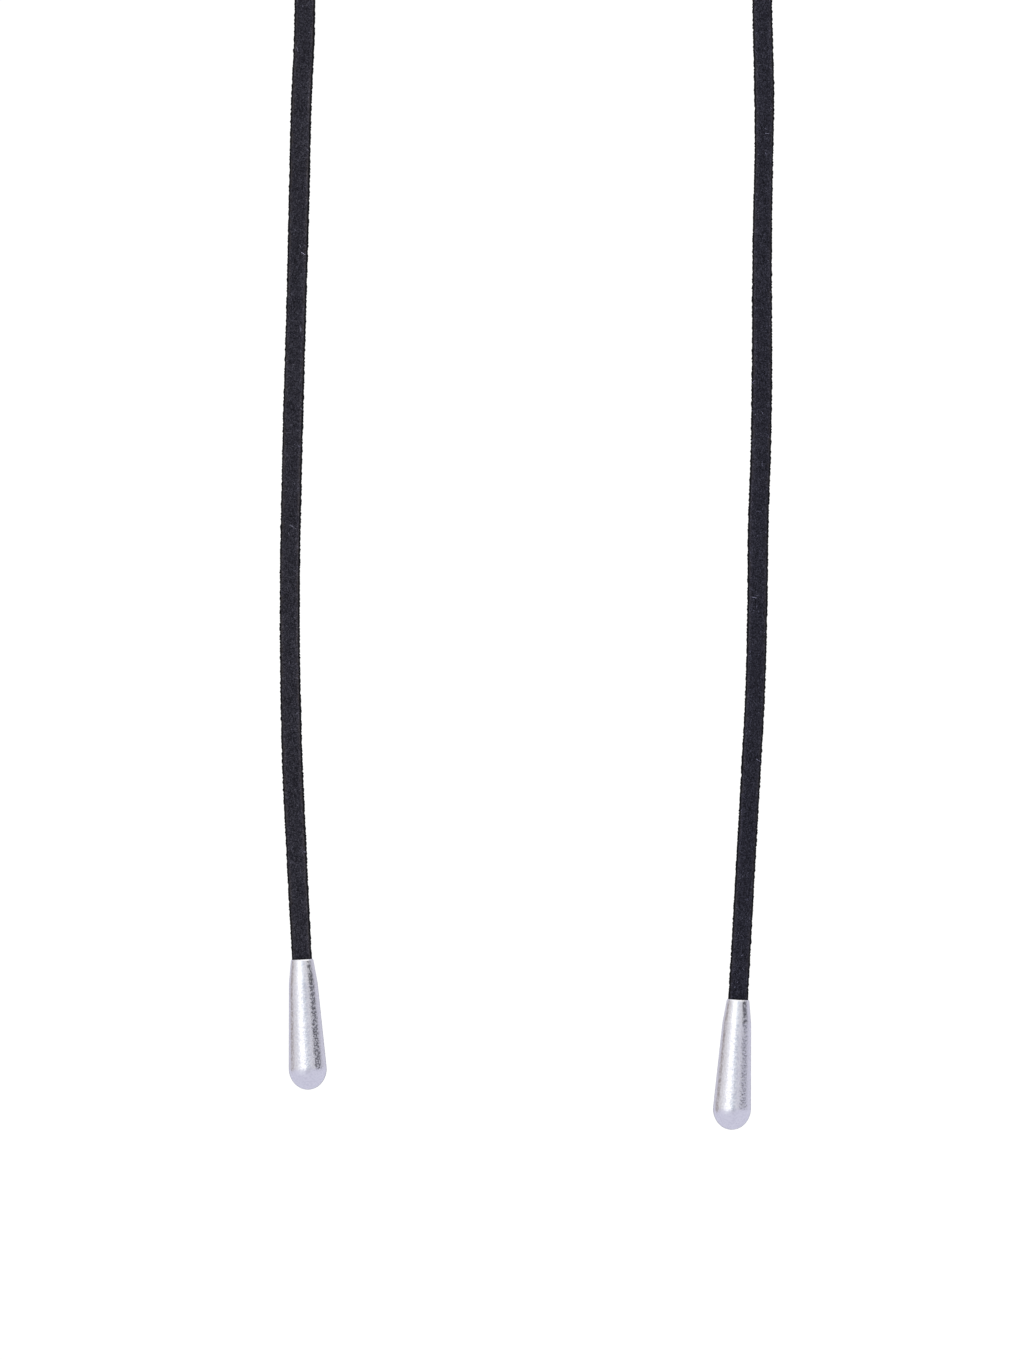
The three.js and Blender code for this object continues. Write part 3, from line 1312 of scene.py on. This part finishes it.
@dataclass
class Studio:
    """A plain white studio: soft walls, bright at the front left and dim at the back, a floor and a camera.

    The caps mirror an even floor with two faint streaks. A pair of numbers is where one light starts to give
    way to another and where it has: the ceiling's back to its front, the walls to the ceiling, and the
    floor's dim back to the rest of it. They are parts of a direction of length one, forwards or up.
    """

    floor_drop: float = 0.60
    floor_radius: float = 6.0
    floor_sides: int = 96
    brightest: float = 2.0
    lowest_foot: float = 0.3
    foot_softness: float = 0.05
    streak_depth: float = 0.5
    ceiling_forwards: tuple[float, float] = (-0.2, 0.3)
    ceiling_up: tuple[float, float] = (0.34, 0.5)
    back_forwards: tuple[float, float] = (-0.97, -0.86)
    backdrop: str = "#ffffff"
    backdrop_strength: float = 1.06
    below: str = "#dadaec"
    below_back: str = "#60606c"
    front_ceiling: str = "#ffffff"
    front_ceiling_strength: float = 1.2
    back_ceiling: str = "#dcdcea"
    image_columns: int = 1020
    image_rows: int = 1360
    pixel: float = 0.1456 * MM
    middle_column: float = 526.0
    top_row_up: float = -140 * MM
    face_forth: float = -117 * MM
    camera_distance: float = 1.2
    sensor_mm: float = 36.0

    def dimmed(self, hex_colour: str, strength: float = 1.0) -> Colour:
        """Give a colour of some strength as a share of the studio's brightest light."""
        return linear(hex_colour, strength / self.brightest)

    def wall_stops(self) -> Stops:
        """Lay the walls' bands out as a colour ramp.

        Returns:
            The stops. Their alpha goes from 0 to 1 as a band's foot goes from the lowest one to the highest.
        """
        stops = []
        for band in STUDIO_WALLS:
            foot = (math.sin(math.radians(band.foot)) + self.lowest_foot) / (2 * self.lowest_foot)
            colour = (*self.dimmed(band.colour, band.strength)[:3], foot)
            stops += [((edge + 180) / 360, colour) for edge in (band.start, band.end)]
        return stops

    def walls(self) -> None:
        """Light the scene from soft walls all round, which the camera sees as plain white."""
        world = bpy.data.worlds.new("white_studio")
        bpy.context.scene.world = world
        add = node_adder(world)
        right, back, up = add("SeparateXYZ", {0: add("TexCoord").outputs["Generated"]}).outputs
        front = add("Math", {0: back, 1: -1.0}, operation="MULTIPLY")
        turn = add("Math", {0: right, 1: front}, operation="ARCTAN2")
        share = add("MapRange", {"Value": turn, "From Min": -math.pi, "From Max": math.pi})
        walls = add("ValToRGB", {"Fac": share}, self.wall_stops())
        foot = walls.outputs["Alpha"]
        over_foot = add("Math", {0: foot, 1: -2 * self.lowest_foot, 2: up}, operation="MULTIPLY_ADD")
        blends = []
        for reach, (start, end) in (
            (over_foot, (-self.lowest_foot, self.foot_softness - self.lowest_foot)),
            (front, self.ceiling_forwards),
            (up, self.ceiling_up),
            (front, self.back_forwards),
        ):
            limits = {"Value": reach, "From Min": start, "From Max": end}
            blends.append(add("MapRange", limits, interpolation_type="SMOOTHSTEP"))
        over_floor, to_front, over_walls, off_back = blends

        fade = add("MapRange", {"Value": up, "From Min": -self.streak_depth, "From Max": 0.0})
        layers = [(off_back, self.dimmed(self.below))]
        for streak in FLOOR_STREAKS:
            aside = add("Math", {0: turn, 1: -math.radians(streak.middle)})
            away = add("Math", {0: aside}, operation="ABSOLUTE")
            half_width = math.radians(streak.half_width)
            limits = {"Value": away, "From Max": half_width, "To Min": 1.0, "To Max": 0.0}
            near = add("MapRange", limits, interpolation_type="SMOOTHSTEP")
            shown = add("Math", {0: near, 1: fade}, operation="MULTIPLY")
            layers.append((shown, self.dimmed(streak.colour, streak.strength)))
        back_ceiling = self.dimmed(self.back_ceiling)
        front_ceiling = self.dimmed(self.front_ceiling, self.front_ceiling_strength)
        mixing = {MIX_SHARE: to_front, MIX_UNDER: back_ceiling, MIX_OVER: front_ceiling}
        ceiling = add("Mix", mixing, data_type="RGBA").outputs[MIXED]
        layers += [(over_floor, walls), (over_walls, ceiling)]
        light: Any = self.dimmed(self.below_back)
        for cover, colour in layers:
            mixing = {MIX_SHARE: cover, MIX_UNDER: light, MIX_OVER: colour}
            light = add("Mix", mixing, data_type="RGBA").outputs[MIXED]

        lit = add("Background", {"Color": light, "Strength": self.brightest})
        plain = add("Background", {"Color": linear(self.backdrop), "Strength": self.backdrop_strength})
        by_camera = add("LightPath").outputs["Is Camera Ray"]
        seen = add("MixShader", {0: by_camera, 1: lit, 2: plain})
        add("OutputWorld", {"Surface": seen})

    def floor(self) -> Object:
        """Lay a round pale floor well below the hanging ends, under the photograph's view.

        Returns:
            The floor.
        """
        turn = np.arange(self.floor_sides) * 2 * math.pi / self.floor_sides
        up = np.full(self.floor_sides, CAD_LOW.z - self.floor_drop)
        rim = np.column_stack([self.floor_radius * np.cos(turn), self.floor_radius * np.sin(turn), up])
        parts = MeshParts()
        parts.add(rim, np.arange(self.floor_sides)[None])
        piece = parts.piece("floor", MattPaper().material())
        piece.visible_glossy = False
        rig.stage(piece)
        return piece

    def camera(self) -> Object:
        """Stand the camera level in front of the hanging ends, as the photograph was taken.

        Returns:
            The camera.
        """
        data = bpy.data.cameras.new("photo_camera")
        height = self.image_rows * self.pixel
        data.sensor_width = self.sensor_mm
        data.lens = self.sensor_mm * self.camera_distance / height
        across = (self.image_columns / 2 - self.middle_column) * self.pixel
        camera = bpy.data.objects.new("photo_camera", data)
        camera.location = (across, self.face_forth - self.camera_distance, self.top_row_up - height / 2)
        camera.rotation_euler = (math.radians(90), 0.0, 0.0)
        bpy.context.scene.collection.objects.link(camera)
        bpy.context.scene.camera = camera
        return camera

    def build(self) -> list[Object]:
        """Make the light, the floor and the camera.

        Returns:
            The floor and the camera.
        """
        bpy.context.scene.view_settings.view_transform = "Standard"
        self.walls()
        return [self.floor(), self.camera()]


def write_sizes() -> None:
    """Write the solids' box and the dressed choker's box for comparing."""
    low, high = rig.bounds()
    sizes = {"cad": [list(CAD_LOW), list(CAD_HIGH)], "visual": [list(low), list(high)]}
    with open(SIZE_FILE, "w", encoding="utf-8") as file:
        json.dump(sizes, file)


def main() -> None:
    """Build the studio, the caps and the cord, and report each piece."""
    logging.basicConfig(level=logging.INFO, format="%(name)s: %(message)s")
    LOG.info("the solids to dress are %s", ", ".join(frame["nodes"]))
    for thing in Studio().build():
        LOG.info("%s is in place", thing.name)
    route = CordRoute()
    LOG.info("the cord is %.1f mm from cap to cap", route.length / MM)
    caps = EndCaps(route, TumbledAluminium()).build()
    pieces = [*caps.values(), *SuedeCord(route, DyedSuede()).build(caps)]
    for piece in pieces:
        LOG.info("%s has %d faces", piece.name, len(piece.data.polygons))
    write_sizes()


if __name__ == "__main__":
    main()
